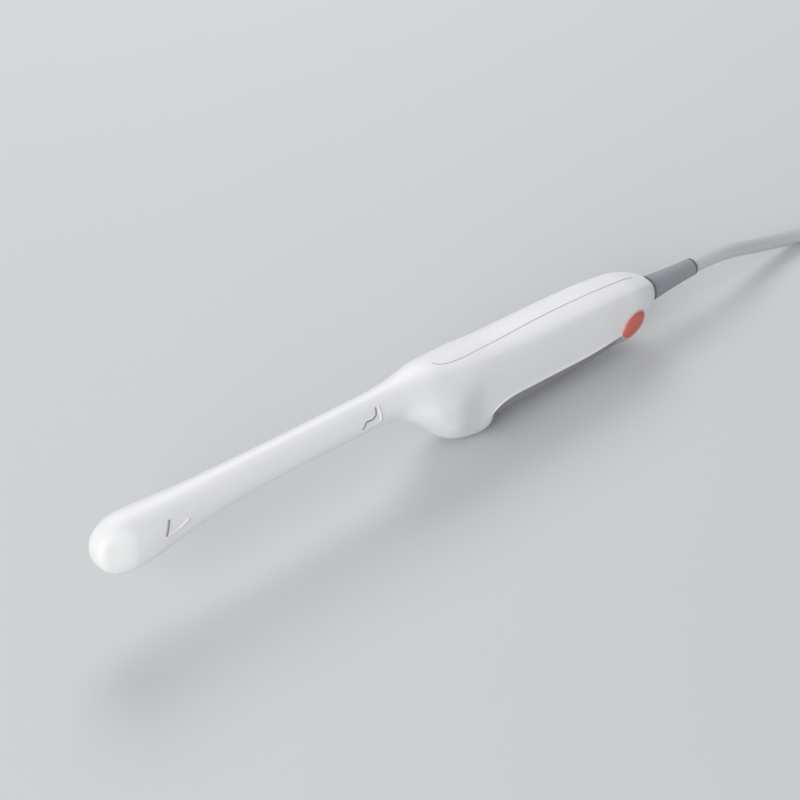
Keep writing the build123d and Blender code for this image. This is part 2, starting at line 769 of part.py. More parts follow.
boss_spots = [(plug_x + i * boss_x, j * boss_y) for i in (-1, 1) for j in (-1, 1)]
inner_length = plug_length - 2 * plug_wall
inner_width = plug_width - 2 * plug_wall
floor_top = base_bottom + plug_wall
ceiling = cover_top - plug_wall
shell_flange = shell_length + 2 * shell_lip, shell_width + 2 * shell_lip
with BuildPart() as plug_shell:
    add(plate(shell_length, shell_width, shell_corner, 0, floor_top))
    add(plate(*shell_flange, shell_corner + shell_lip, floor_top, floor_top + 1))
    add(plate(shell_length - 2 * shell_wall, shell_width - 2 * shell_wall, shell_corner - shell_wall, -1, contact_top),
        mode=Mode.SUBTRACT)
block_length = shell_length - 2 * shell_wall - 2 * slip
block_width = shell_width - 2 * shell_wall - 2 * slip
with BuildPart() as contact_block:
    add(plate(block_length, block_width, shell_corner - shell_wall - slip, contact_recess, contact_top))
    add(bore(lock_radius + running_gap, -1, contact_top + 1), mode=Mode.SUBTRACT)
contact_centre = contact_start + (contact_columns - 1) * contact_pitch / 2
with BuildPart() as contacts:
    with Locations((plug_x - contact_centre, 0, contact_recess), (plug_x + contact_centre, 0, contact_recess)):
        with GridLocations(contact_pitch, contact_pitch, contact_columns, contact_rows):
            Box(contact_size, contact_size, contact_recess - 1,
                align=(Align.CENTER, Align.CENTER, Align.MAX))
with BuildPart() as connector_board:
    add(plate(plug_board_length, plug_board_width, 1, contact_top, contact_top + board_thickness))
    add(bore(lock_radius + running_gap, 0, cover_top), mode=Mode.SUBTRACT)
with BuildPart() as connector_base:
    add(plate(plug_length, plug_width, plug_corner, base_bottom, base_top))
    chamfer(connector_base.edges().group_by(Axis.Z)[0], 1.2)
    add(plate(inner_length, inner_width, plug_corner - plug_wall, floor_top, base_top + 1),
        mode=Mode.SUBTRACT)
    for x, y in boss_spots:
        add(bore(plug_boss_radius, floor_top, base_top, x, y))
        add(bore(screw_radius + slip, 0, base_top + 1, x, y), mode=Mode.SUBTRACT)
        add(bore(screw_head_radius + slip, 0, base_bottom + screw_head_height, x, y), mode=Mode.SUBTRACT)
    add(plate(shell_length + 2 * slip, shell_width + 2 * slip, shell_corner + slip, 0, floor_top),
        mode=Mode.SUBTRACT)
    add(lead(plug_start - 1, plug_start + plug_wall, outlet_neck_radius + slip), mode=Mode.SUBTRACT)
with BuildPart() as connector_cover:
    add(plate(plug_length, plug_width, plug_corner, base_top, cover_top))
    fillet(connector_cover.edges().group_by(Axis.Z)[-1], cover_round)
    add(plate(inner_length, inner_width, plug_corner - plug_wall, base_top - 1, ceiling),
        mode=Mode.SUBTRACT)
    for x, y in boss_spots:
        add(bore(plug_boss_radius, base_top, ceiling, x, y))
        add(bore(screw_radius + slip, 0, screw_end + slip, x, y), mode=Mode.SUBTRACT)
    add(bore(lock_radius + running_gap, 0, cover_top + 1), mode=Mode.SUBTRACT)
    add(lead(plug_start - 1, plug_start + plug_wall, outlet_neck_radius + slip), mode=Mode.SUBTRACT)
with BuildPart() as housing_screws:
    for x, y in boss_spots:
        add(bore(screw_head_radius, base_bottom, base_bottom + screw_head_height, x, y))
        add(bore(screw_radius, base_bottom + screw_head_height, screw_end, x, y))
flange_start = plug_start + plug_wall
with BuildPart() as connector_strain_relief:
    with BuildSketch(Plane.XZ):
        with BuildLine():
            Polyline((plug_start - outlet_boot, cable_radius + slip), (plug_start - outlet_boot, outlet_tip_radius),
                     (plug_start, outlet_root_radius), (plug_start, outlet_neck_radius),
                     (flange_start, outlet_neck_radius), (flange_start, outlet_root_radius),
                     (flange_start + 1.6, outlet_root_radius), (flange_start + 1.6, cable_radius + slip), close=True)
        make_face()
    revolve(axis=Axis.X)
connector_strain_relief.part.position = (0, outlet_y, base_top)
outlet_clamp = flange_start + 1.8
with BuildPart() as connector_lead_in:
    add(lead(plug_start - outlet_boot, outlet_clamp + 8, cable_radius))
with BuildPart() as connector_clamp:
    add(prism(outlet_clamp, outlet_clamp + 4, outlet_y - 5.4, outlet_y + 5.4, floor_top, base_top + 5.4))
    add(lead(outlet_clamp - 1, outlet_clamp + 6, cable_radius + slip), mode=Mode.SUBTRACT)

# Lock: the knob turns a shaft through the connector, with a collar under the cover and a bar at
# the mating face
collar_top = ceiling - running_gap
bar_top = contact_recess - running_gap
knob_bottom = cover_top + running_gap
knob_top = knob_bottom + knob_height
with BuildPart() as lock_shaft:
    add(bore(lock_radius, bar_top - lock_bar_height, knob_bottom + knob_socket))
    add(bore(lock_collar_radius, collar_top - lock_collar, collar_top))
    with Locations((plug_x, 0, bar_top)):
        Box(lock_bar_length, lock_bar_width, lock_bar_height,
            align=(Align.CENTER, Align.CENTER, Align.MAX))
with BuildPart() as lock_knob:
    add(bore(knob_radius, knob_bottom, knob_top))
    with BuildSketch(Plane.XY.offset(knob_top)):
        with Locations((plug_x, 0)):
            SlotOverall(grip_length, grip_width)
    extrude(amount=grip_height, taper=4)
    chamfer(lock_knob.edges().group_by(Axis.Z)[-1], 1.2)
    add(bore(lock_radius + slip, 0, knob_bottom + knob_socket), mode=Mode.SUBTRACT)

floor_pieces = {
    "cable": cable.part,
    "cable_hank": cable_hank.part,
    "cable_tie": cable_tie.part,
    "cable_tail": cable_tail.part,
    "connector_base": connector_base.part,
    "connector_cover": connector_cover.part,
    "housing_screws": housing_screws.part,
    "plug_shell": plug_shell.part,
    "contact_block": contact_block.part,
    "contacts": contacts.part,
    "connector_board": connector_board.part,
    "connector_clamp": connector_clamp.part,
    "connector_lead_in": connector_lead_in.part,
    "connector_strain_relief": connector_strain_relief.part,
    "lock_shaft": lock_shaft.part,
    "lock_knob": lock_knob.part,
}
for name, piece in floor_pieces.items():
    piece.label = name
    print(name, len(piece.solids()), piece.is_valid, round(piece.volume, 1))
    export_step(piece, "parts/" + name + ".step")
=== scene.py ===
"""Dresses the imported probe: materials, housing skin, cable, floor, light and the photograph's camera."""

import json
import math

import bpy
from mathutils import Matrix, Vector


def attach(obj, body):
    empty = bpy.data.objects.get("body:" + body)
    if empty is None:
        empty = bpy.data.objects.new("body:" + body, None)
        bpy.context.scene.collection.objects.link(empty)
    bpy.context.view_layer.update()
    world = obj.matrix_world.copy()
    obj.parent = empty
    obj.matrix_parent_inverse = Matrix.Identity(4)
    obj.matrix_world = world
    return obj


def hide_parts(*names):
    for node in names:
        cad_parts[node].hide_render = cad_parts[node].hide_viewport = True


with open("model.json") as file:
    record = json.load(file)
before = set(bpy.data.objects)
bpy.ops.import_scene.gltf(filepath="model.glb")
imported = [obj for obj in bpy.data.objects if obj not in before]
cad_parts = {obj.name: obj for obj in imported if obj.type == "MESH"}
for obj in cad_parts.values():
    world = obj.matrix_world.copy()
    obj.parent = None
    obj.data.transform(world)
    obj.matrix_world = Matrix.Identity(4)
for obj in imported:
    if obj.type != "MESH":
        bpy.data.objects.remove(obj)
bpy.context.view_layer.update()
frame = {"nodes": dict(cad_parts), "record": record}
nodes = frame["nodes"]
scene = bpy.context.scene

# The probe is drawn along its own X from the tip, leans back on its bulge and has its tip here
lean = math.radians(2.5)
tip_place = (-0.158928, 0, 0.041844)

# Stepped-in underside behind the guard bulge, in millimetres from the tip
undercut_start = 190
undercut_end = 262


def placed(name, data):
    """New object that holds this data, linked to the scene."""
    made = bpy.data.objects.new(name, data)
    scene.collection.objects.link(made)
    return made


# Camera of the photograph, which sees the probe from the tip's near side and from above
turn = math.radians(40.555)
height = math.radians(36.0)
camera_place = (-0.572435, -0.694293, 0.7222)
eye = bpy.data.cameras.new("photo_camera")
eye.sensor_width = 36.0
eye.lens = 126.0
eye.clip_start = 0.05
eye.clip_end = 20.0
camera = placed("photo_camera", eye)
aim = Matrix.Rotation(lean, 4, "Y") @ Matrix.Rotation(-turn, 4, "Z")
aim = aim @ Matrix.Rotation(math.pi / 2 - height, 4, "X")
camera.matrix_world = Matrix.Translation(camera_place) @ aim
scene.camera = camera

# Materials
cloud_scale = 18.0
roughness_spread = 0.06
grain_height = 0.0004


def grained(name, low, high, roughness, grain=600.0, depth=0.02, metal=0.0, sheen=0.0, coat=0.0):
    """Moulded or cast surface: two close tones in soft clouds, uneven roughness and a fine grain."""
    material = bpy.data.materials.new(name)
    material.use_nodes = True
    tree = material.node_tree
    shader = tree.nodes["Principled BSDF"]
    shader.inputs["Metallic"].default_value = metal
    shader.inputs["Coat Weight"].default_value = coat
    shader.inputs["Sheen Weight"].default_value = sheen
    place = tree.nodes.new("ShaderNodeTexCoord")
    clouds = tree.nodes.new("ShaderNodeTexNoise")
    clouds.inputs["Scale"].default_value = cloud_scale
    clouds.inputs["Detail"].default_value = 3.0
    tree.links.new(place.outputs["Object"], clouds.inputs["Vector"])
    tones = tree.nodes.new("ShaderNodeValToRGB")
    tones.color_ramp.elements[0].position = 0.3
    tones.color_ramp.elements[0].color = (*low, 1)
    tones.color_ramp.elements[1].position = 0.7
    tones.color_ramp.elements[1].color = (*high, 1)
    tree.links.new(clouds.outputs["Fac"], tones.inputs["Fac"])
    tree.links.new(tones.outputs["Color"], shader.inputs["Base Color"])
    wear = tree.nodes.new("ShaderNodeMapRange")
    wear.inputs["To Min"].default_value = roughness - roughness_spread
    wear.inputs["To Max"].default_value = roughness + roughness_spread
    tree.links.new(clouds.outputs["Fac"], wear.inputs["Value"])
    tree.links.new(wear.outputs["Result"], shader.inputs["Roughness"])
    fine = tree.nodes.new("ShaderNodeTexNoise")
    fine.inputs["Scale"].default_value = grain
    fine.inputs["Detail"].default_value = 2.0
    tree.links.new(place.outputs["Object"], fine.inputs["Vector"])
    bump = tree.nodes.new("ShaderNodeBump")
    bump.inputs["Strength"].default_value = depth
    bump.inputs["Distance"].default_value = grain_height
    tree.links.new(fine.outputs["Fac"], bump.inputs["Height"])
    tree.links.new(bump.outputs["Normal"], shader.inputs["Normal"])
    return material


looks = {
    # Outside
    "shell": grained("satin_white_shell", (0.765, 0.765, 0.775), (0.79, 0.79, 0.797), 0.42,
                     grain=1800, depth=0.05),
    "lens": grained("cast_lens", (0.745, 0.753, 0.737), (0.77, 0.775, 0.76), 0.5, grain=900),
    "marker": grained("red_marker", (0.52, 0.10, 0.075), (0.60, 0.13, 0.09), 0.32,
                      grain=900, depth=0.04, coat=0.2),
    "boot": grained("grey_boot", (0.26, 0.27, 0.295), (0.295, 0.305, 0.33), 0.5, grain=1500, depth=0.08),
    "jacket": grained("cable_jacket", (0.49, 0.50, 0.50), (0.54, 0.55, 0.55), 0.46,
                      grain=1200, depth=0.06),
    # Painted highlight: the marker's rim is a real raised ring, and its pale red stands in for its lit
    # edge
    "marker_rim_painted_highlight": grained("painted_highlight_rim", (0.66, 0.36, 0.32), (0.72, 0.42, 0.38), 0.35,
                          grain=900, depth=0.04),
    # Painted shadow: dark grey strokes for the shaded walls of the recessed guide marks
    "painted_shadow": grained("painted_shadow_grey", (0.20, 0.20, 0.21), (0.24, 0.24, 0.25), 0.5),
    "dark_line": grained("dark_line", (0.07, 0.07, 0.08), (0.10, 0.10, 0.11), 0.6),
    "seam": grained("seam_line", (0.30, 0.30, 0.31), (0.34, 0.34, 0.35), 0.6),
    # Inside the probe
    "seal": grained("grey_seal", (0.08, 0.08, 0.09), (0.11, 0.11, 0.12), 0.6),
    "resin": grained("filled_resin", (0.40, 0.33, 0.16), (0.48, 0.40, 0.20), 0.3),
    "piezo": grained("fired_ceramic", (0.50, 0.46, 0.34), (0.58, 0.54, 0.42), 0.55),
    "backing": grained("filled_backing", (0.03, 0.03, 0.035), (0.06, 0.06, 0.065), 0.7),
    "aluminium": grained("cast_aluminium", (0.62, 0.62, 0.64), (0.72, 0.72, 0.74), 0.34, metal=1.0),
    "flex": grained("amber_flex", (0.48, 0.19, 0.03), (0.58, 0.25, 0.05), 0.3, coat=0.3),
    "bundle": grained("coax_wrap", (0.07, 0.08, 0.11), (0.12, 0.13, 0.16), 0.5),
    "copper": grained("copper_braid", (0.62, 0.36, 0.24), (0.74, 0.46, 0.32), 0.35,
                      grain=2500, depth=0.3, metal=1.0),
    "connector_plastic": grained("black_moulding", (0.03, 0.03, 0.032), (0.055, 0.055, 0.06), 0.45,
                                 depth=0.06),
    "board": grained("green_board", (0.015, 0.13, 0.05), (0.03, 0.19, 0.08), 0.3, coat=0.4),
    "tin": grained("tinned_steel", (0.55, 0.55, 0.53), (0.65, 0.65, 0.62), 0.3, metal=1.0),
    "clamp": grained("dark_clamp", (0.09, 0.09, 0.10), (0.13, 0.13, 0.14), 0.5),
    "steel": grained("turned_steel", (0.54, 0.54, 0.56), (0.64, 0.64, 0.66), 0.28, metal=1.0),
    # Tie and system connector
    "tie": grained("hook_and_loop", (0.02, 0.02, 0.02), (0.05, 0.05, 0.05), 0.9,
                   grain=3000, depth=0.6, sheen=0.4),
    "plug_plastic": grained("grey_moulding", (0.47, 0.48, 0.49), (0.53, 0.54, 0.55), 0.48,
                            grain=1600, depth=0.12),
    "gold": grained("gold_plate", (0.78, 0.56, 0.20), (0.88, 0.66, 0.28), 0.2, metal=1.0),
}
# Painted shade: darker grey laid on the stepped-in underside in place of its shadow
painted_undercut_shade = (0.27, 0.27, 0.29, 1)


def paint_undercut_shade(material):
    """Painted shade: a darker grey laid on the stepped-in underside, found from the probe's own axes."""
    tree = material.node_tree
    shader = tree.nodes["Principled BSDF"]
    tones = shader.inputs["Base Color"].links[0].from_socket
    place = tree.nodes.new("ShaderNodeTexCoord")
    axes = tree.nodes.new("ShaderNodeMapping")
    axes.vector_type = "TEXTURE"
    axes.inputs["Location"].default_value = tip_place
    axes.inputs["Rotation"].default_value = (0, lean, 0)
    tree.links.new(place.outputs["Object"], axes.inputs["Vector"])
    split = tree.nodes.new("ShaderNodeSeparateXYZ")
    tree.links.new(axes.outputs["Vector"], split.inputs["Vector"])
    along = split.outputs["X"]

    def ramp(source, low, high, start, end):
        step = tree.nodes.new("ShaderNodeMapRange")
        step.inputs["From Min"].default_value = low
        step.inputs["From Max"].default_value = high
        step.inputs["To Min"].default_value = start
        step.inputs["To Max"].default_value = end
        tree.links.new(source, step.inputs["Value"])
        return step.outputs["Result"]

    def combine(kind, first, second):
        node = tree.nodes.new("ShaderNodeMath")
        node.operation = kind
        tree.links.new(first, node.inputs[0])
        tree.links.new(second, node.inputs[1])
        return node.outputs["Value"]

    first_rise = ramp(along, undercut_start / 1000, 0.196, -0.0042, 0.0)
    last_rise = ramp(along, 0.194, 0.204, -0.0016, 0.0)
    rear_rise = ramp(along, 0.244, 0.266, -0.0174, -0.0159)
    rim = combine("ADD", rear_rise, combine("ADD", first_rise, last_rise))
    depth = combine("SUBTRACT", rim, split.outputs["Z"])
    front_fade = ramp(along, 0.1905, 0.193, 0.0, 1.0)
    rear_fade = ramp(along, undercut_end / 1000, 0.282, 1.0, 0.0)
    ends = combine("MULTIPLY", front_fade, rear_fade)
    # Mask of the painted shade: below the rim line, between the ends of the undercut
    under = combine("MULTIPLY", ramp(depth, -0.0001, 0.0002, 0.0, 1.0), ends)
    mix = tree.nodes.new("ShaderNodeMix")
    mix.data_type = "RGBA"
    tree.links.new(under, mix.inputs["Factor"])
    tree.links.new(tones, mix.inputs[6])
    mix.inputs[7].default_value = painted_undercut_shade
    tree.links.new(mix.outputs[2], shader.inputs["Base Color"])


# The shell gets painted shade on its stepped-in underside
paint_undercut_shade(looks["shell"])
for part in frame["record"]["subparts"]:
    mesh = nodes[part["node"]].data
    mesh.materials.clear()
    mesh.materials.append(looks[part["material_slot"]])

# Housing in one skin, in millimetres along the probe: lines for its heights, half width and fullness.
# They follow the master curves of the source, with a fuller prow on the bulge and a sharper head.
nose_end = 14.0
nose_power = 2.3
body_end = 289.8
tail_round = 16.0
tail_power = 1.65
crown_line = [(14, 8.9), (32, 8.0), (48, 7.5), (78, 7.4), (132, 7.4), (146, 7.8), (164, 8.8), (174.5, 8.1),
              (202, 6.1), (238, 5.4), (256, 4.8), (276, 3.1), (292, 1.6)]
belly_line = [(14, -15.2), (20, -15.2), (30, -13.5), (46, -10.5), (60, -8.9), (78, -7.9), (103, -7.4),
              (132, -7.6), (140, -8.5), (148, -10.2), (155, -13.6), (162, -20.06), (168, -26.52),
              (174, -30.6), (181, -33.0), (187.5, -33.65), (192, -32.0), (196.5, -29.6), (202, -29),
              (238, -27.2), (256, -25.7), (276, -23), (292, -21.2)]
width_line = [(14, 8.9), (22, 9.0), (32, 8.7), (48, 8.1), (62, 7.7), (78, 7.4), (136, 7.4), (146, 8.2),
              (155, 9.8), (163, 11.3), (173, 12.1), (187.5, 12.4), (238, 12.3), (256, 12.1), (276, 11.2),
              (292, 10)]
level_line = [(14, -2.9), (48, -1.6), (78, 0), (136, 0), (156, -4), (176, -14), (196, -17.4), (240, -17.4),
              (276, -15.2), (292, -12.4)]
shaft_powers = [(14, 2.8), (60, 2.15), (85, 2), (136, 2)]
top_power_line = shaft_powers + [(168, 3.8), (190, 6.5), (240, 8), (276, 6.5), (292, 4)]
low_power_line = shaft_powers + [(176, 2.3), (196, 3.0), (240, 3.5), (270, 3.0), (292, 2.4)]
draft_line = [(146, 0), (202, 0.06)]
arch_line = [(146, 0), (202, 1.0)]
prow_swell = 0.27
neck_pinch = 0.09
rim_line = [(190, -23.2), (192.5, -20.9), (196, -19.0), (202, -17.7), (210, -17.4), (244, -17.4),
            (266, -15.9), (284, -12.6)]
groove_line = [(168.2, 0.2), (168.6, 1.6), (169.6, 2.6), (171.5, 3.4), (175, 4.2), (180, 4.3), (190, 3.4),
               (202, 2.6), (221, 1.6), (240, 1.2), (261, 1.2), (281, 0.9)]
boot_seat_z = -9.3
boot_seat_radius = 6.3
tip_z = -1.7
tip_half = 4.9
slant_end = 12.4
dome_half = 2.0


def through(knots, x):
    """Height at x of a smooth curve through the knots, without overshoot between them."""
    steps = [(b[1] - a[1]) / (b[0] - a[0]) for a, b in zip(knots, knots[1:])]
    inner = [0 if a * b <= 0 else 2 * a * b / (a + b) for a, b in zip(steps, steps[1:])]
    slopes = [steps[0]] + inner + [steps[-1]]
    if x <= knots[0][0]:
        return knots[0][1]
    for (x0, v0), (x1, v1), m0, m1 in zip(knots, knots[1:], slopes, slopes[1:]):
        if x <= x1:
            h = x1 - x0
            q = (x - x0) / h
            ends = (1 + 2 * q) * (1 - q) ** 2 * v0 + q * q * (3 - 2 * q) * v1
            return ends + q * (1 - q) * h * ((1 - q) * m0 - q * m1)
    return knots[-1][1]


def ease(start, end, value):
    """Soft step from 0 at start to 1 at end."""
    q = min(1.0, max(0.0, (value - start) / (end - start)))
    return q * q * (3 - 2 * q)


def extents(x, inset):
    """Crown, belly, half width and widest height at x, drawn in to the rounded nose and tail."""
    top = through(crown_line, x) - inset
    low = through(belly_line, x) + inset
    half = through(width_line, x) - inset
    level = through(level_line, x)
    nose = min(1.0, x / nose_end)
    if nose < 1:
        swell = (1 - (1 - nose) ** nose_power) ** (1 / nose_power)
        top = tip_z + (top - tip_z) * swell
        low = tip_z + (low - tip_z) * swell
        level = tip_z + (level - tip_z) * swell
        slant = tip_half + (half - tip_half) * x / slant_end
        dome = dome_half + (half - dome_half) * math.sqrt(1 - (1 - nose) ** 2)
        half = 0.5 * (slant + dome - math.sqrt((slant - dome) ** 2 + 0.5))
    tail = min(1.0, max(0.0, (body_end - x) / tail_round))
    if tail < 1:
        close = (1 - (1 - tail) ** tail_power) ** (1 / tail_power)
        top = boot_seat_z + boot_seat_radius + (top - boot_seat_z - boot_seat_radius) * close
        low = boot_seat_z - boot_seat_radius + (low - boot_seat_z + boot_seat_radius) * close
        level = boot_seat_z + (level - boot_seat_z) * close
        half = boot_seat_radius + (half - boot_seat_radius) * close
    return top, low, half, level


def quarter_round(power):
    """Control points of a quarter round, as full at its corner as a superellipse of this power."""
    corner = 0.5 ** (1 / power)
    pull = 0.64 + 0.21 * (1 - (1 - corner) / 0.2929)
    reach = pull * (1 - corner)
    shape = [(0, 1), (pull * (2 * corner - 1), 1), (corner - reach, corner + reach), (corner, corner)]
    return shape + [(z, y) for y, z in reversed(shape[:-1])]


def drawn_bend(bend, count=24):
    """Points along a cubic curve from four control points, without its last one."""
    drawn = []
    for step in range(count):
        q = step / count
        weights = ((1 - q) ** 3, 3 * q * (1 - q) ** 2, 3 * q * q * (1 - q), q ** 3)
        drawn.append(tuple(sum(w * p[k] for w, p in zip(weights, bend)) for k in (0, 1)))
    return drawn


def outline(x, inset=0.0):
    """Half outline at x from the crown round to the belly, with its widest and lowest heights."""
    top, low, half, level = extents(x, inset)
    draft = through(draft_line, x)
    arch = through(arch_line, x)
    spots = []
    for power_line, end in ((top_power_line, top), (low_power_line, low)):
        upper = end > level
        quarter = []
        for y, z in quarter_round(through(power_line, x)):
            fall = draft * z if upper else 0
            sag = arch * y * y * z if upper else 0
            quarter.append((half * y * (1 - fall), level + (end - level) * z - sag))
        drawn = drawn_bend(quarter[:4]) + drawn_bend(quarter[3:]) + quarter[-1:]
        spots += drawn if upper else drawn[::-1][1:]
    prow = prow_swell * ease(147, 163, x) * (1 - ease(168, 189, x))
    pinch = neck_pinch * ease(136, 145, x) * (1 - ease(147, 157, x))
    bulb = []
    for y, z in spots:
        swell = (prow * (1 - 0.6 * ease(-16, -32, z)) - pinch) * ease(6, -8, z)
        bulb.append((y * (1 + swell), z))
    return bulb, level, low


def spread(spots, marks):
    """Points at these lengths along a line of points, and the length of the line."""
    runs = [0.0]
    for a, b in zip(spots, spots[1:]):
        runs.append(runs[-1] + math.dist(a, b))
    found = []
    step = 1
    for mark in marks:
        mark = min(max(mark, 0.0), runs[-1])
        while step < len(runs) - 1 and runs[step] < mark:
            step += 1
        q = (mark - runs[step - 1]) / max(runs[step] - runs[step - 1], 1e-9)
        a, b = spots[step - 1], spots[step]
        found.append((a[0] + (b[0] - a[0]) * q, a[1] + (b[1] - a[1]) * q))
    return found, runs[-1]


def split_at(spots, cut_height):
    """The line above and below a height on the way down its lower part."""
    for step in range(len(spots) // 2, len(spots) - 1):
        if spots[step + 1][1] <= cut_height:
            a, b = spots[step], spots[step + 1]
            q = (cut_height - a[1]) / (b[1] - a[1])
            cut = (a[0] + (b[0] - a[0]) * q, cut_height)
            return spots[:step + 1] + [cut], [cut] + spots[step + 1:]
    return spots, [spots[-1], spots[-1]]


undercut_depth = 1.5
lip_height = 0.45
lip_middle = 0.75
lip_width = 0.45
lip_marks = [2.2, 1.7, 1.35, 1.0, 0.7, 0.45, 0.2, 0.0]
front_rim_share = 0.64
end_belly = through(belly_line, undercut_end)
end_level = through(level_line, undercut_end)
rear_rim_share = (through(rim_line, undercut_end) - end_belly) / (end_level - end_belly)
upper_points = 38
lower_points = 20


def ring(x):
    """Half ring of the skin at x, with the rim of the undercut and its lip."""
    cut = undercut_depth * ease(undercut_start, 197, x) * (1 - ease(undercut_end, 272, x))
    outer, level, low = outline(x)
    inner = outline(x, cut)[0]
    if x < undercut_start:
        rim = low + front_rim_share * (level - low)
    elif x > undercut_end:
        rim = low + rear_rim_share * (level - low)
    else:
        rim = through(rim_line, x)
    rim = min(rim, level - 0.05)
    upper = split_at(outer, rim)[0]
    lower = split_at(inner, min(rim, inner[len(inner) // 2][1] - 0.01) if cut else rim)[1]
    length = spread(upper, [0])[1]
    span = length - lip_marks[0]
    marks = [span * count / upper_points for count in range(upper_points)]
    marks += [length - mark for mark in lip_marks]
    bead = lip_height * ease(undercut_start - 1, 194, x) * (1 - ease(254, undercut_end, x))
    raised = []
    for (y, z), mark in zip(spread(upper, marks)[0], marks):
        raised.append((y + bead * math.exp(-((length - mark - lip_middle) / lip_width) ** 2), z))
    depth = spread(lower, [0])[1]
    below = spread(lower, [depth * (count / lower_points) for count in range(lower_points + 1)])[0]
    return raised + below


def seat(x, y, z):
    """Place in the scene of a point of the probe drawn in millimetres along X."""
    drawn = Vector((x / 1000, y / 1000, z / 1000))
    return Matrix.Translation(tip_place) @ Matrix.Rotation(lean, 4, "Y") @ drawn


def skinned(name, loops, sharp_angle, caps, look, *stands_for):
    """Smooth skin through these rings, capped at its first or last ring or at both."""
    around = len(loops[0])
    last = (len(loops) - 1) * around
    faces = []
    for start in range(0, last, around):
        for column in range(around):
            after = (column + 1) % around
            low, high = start + column, start + after
            faces.append((low, high, high + around, low + around))
    if "last" in caps:
        faces.append(tuple(last + column for column in range(around)))
    if "first" in caps:
        faces.append(tuple(range(around - 1, -1, -1)))
    skin = bpy.data.meshes.new(name)
    skin.from_pydata([tuple(seat(*spot)) for loop in loops for spot in loop], [], faces)
    for face in skin.polygons:
        face.use_smooth = True
    skin.set_sharp_from_angle(angle=math.radians(sharp_angle))
    skin.materials.append(looks[look])
    piece = placed(name, skin)
    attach(piece, "probe")
    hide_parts(*stands_for)


nose_angles = (3, 7, 11, 16, 21, 27, 33, 39, 45, 51, 57, 63, 69, 76, 83)
tail_angles = (84, 78, 72, 65, 58, 51, 44, 37, 30, 23, 16, 9, 3)
row_spacing = 1.5
places = [nose_end * (1 - math.cos(math.radians(a))) for a in nose_angles]
places += [nose_end + row_spacing * count for count in range(117)]
places += [undercut_start + 0.5 * count for count in range(16)]
places += [198 + row_spacing * count for count in range(51)]
places += [body_end - tail_round * (1 - math.cos(math.radians(a))) for a in tail_angles]
rings = []
for x in places:
    half_ring = ring(x)
    near_side = [(x, -y, z) for y, z in half_ring]
    far_side = [(x, y, z) for y, z in half_ring[1:-1]]
    rings.append(near_side + far_side[::-1])
window_rows = 9
skinned("lens_face", rings[:window_rows + 1], 38, ["first"], "lens", "acoustic_lens")
skinned("housing_skin", rings[window_rows:], 38, ["last"], "shell", "left_housing", "right_housing")


def on_skin(x, level=None, side=None):
    """Point of the near side of the skin at x, at a height or at a distance from the parting plane."""
    spots = outline(x)[0]
    for a, b in zip(spots, spots[1:]):
        if level is not None and b[1] <= level <= a[1]:
            q = (a[1] - level) / max(a[1] - b[1], 1e-9)
            return (x, -(a[0] + (b[0] - a[0]) * q), level)
        if side is not None and a[0] <= side <= b[0]:
            q = (side - a[0]) / max(b[0] - a[0], 1e-9)
            return (x, -side, a[1] + (b[1] - a[1]) * q)
    return (x, -spots[-1][0], spots[-1][1])


def bead_line(name, spots, radius, look, closed=False):
    """Fine moulded line of this radius in millimetres along points of the skin."""
    bead = bpy.data.curves.new(name, "CURVE")
    bead.dimensions = "3D"
    run = bead.splines.new("POLY")
    run.points.add(len(spots) - 1)
    for point, spot in zip(run.points, spots):
        point.co = (*seat(*spot), 1.0)
    run.use_cyclic_u = closed
    bead.bevel_depth = radius / 1000
    bead.bevel_resolution = 3
    bead.use_fill_caps = True
    bead.materials.append(looks[look])
    piece = placed(name, bead)
    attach(piece, "probe")


def traced(corners):
    """Points every half millimetre along corners given as x and height, laid on the near side."""
    spots = []
    for (x0, z0), (x1, z1) in zip(corners, corners[1:]):
        parts = max(2, round(math.dist((x0, z0), (x1, z1)) / 0.5))
        shares = [count / parts for count in range(parts)]
        spots += [on_skin(x0 + (x1 - x0) * q, level=z0 + (z1 - z0) * q) for q in shares]
    spots.append(on_skin(corners[-1][0], level=corners[-1][1]))
    return spots


# Guide marks on the head and the shaft, each a raised rib beside a dark grey stroke of painted shadow for
# the shaded wall of the recess, and the crown's groove
head_shadow_stroke = [(29.6, 3.6), (27.4, -2.8)]
head_rib = [(27.4, -3.0), (33.9, -2.0), (38.6, -0.1)]
shaft_shadow_stroke = [(133.9, 5.2), (132.8, 2.7), (131.0, 1.7), (127.6, 1.9), (125.4, -0.8)]
shaft_rib = [(125.4, -0.9), (133.0, -0.9), (135.0, -0.5), (135.2, 1.9), (135.2, 5.0)]
bead_line("head_guide_painted_shadow", traced(head_shadow_stroke), 0.42, "painted_shadow")
bead_line("head_guide_rib", traced(head_rib), 0.55, "shell")
bead_line("shaft_guide_painted_shadow", traced(shaft_shadow_stroke), 0.3, "painted_shadow")
bead_line("shaft_guide_rib", traced(shaft_rib), 0.42, "shell")
groove_places = [168.2, 168.4, 168.6, 169, 169.6, 170.4, 171.4, 172.6, 174]
groove_places += [175.5 + row_spacing * count for count in range(71)]
groove = [on_skin(x, side=through(groove_line, x)) for x in groove_places]
bead_line("crown_seam", groove, 0.13, "seam")

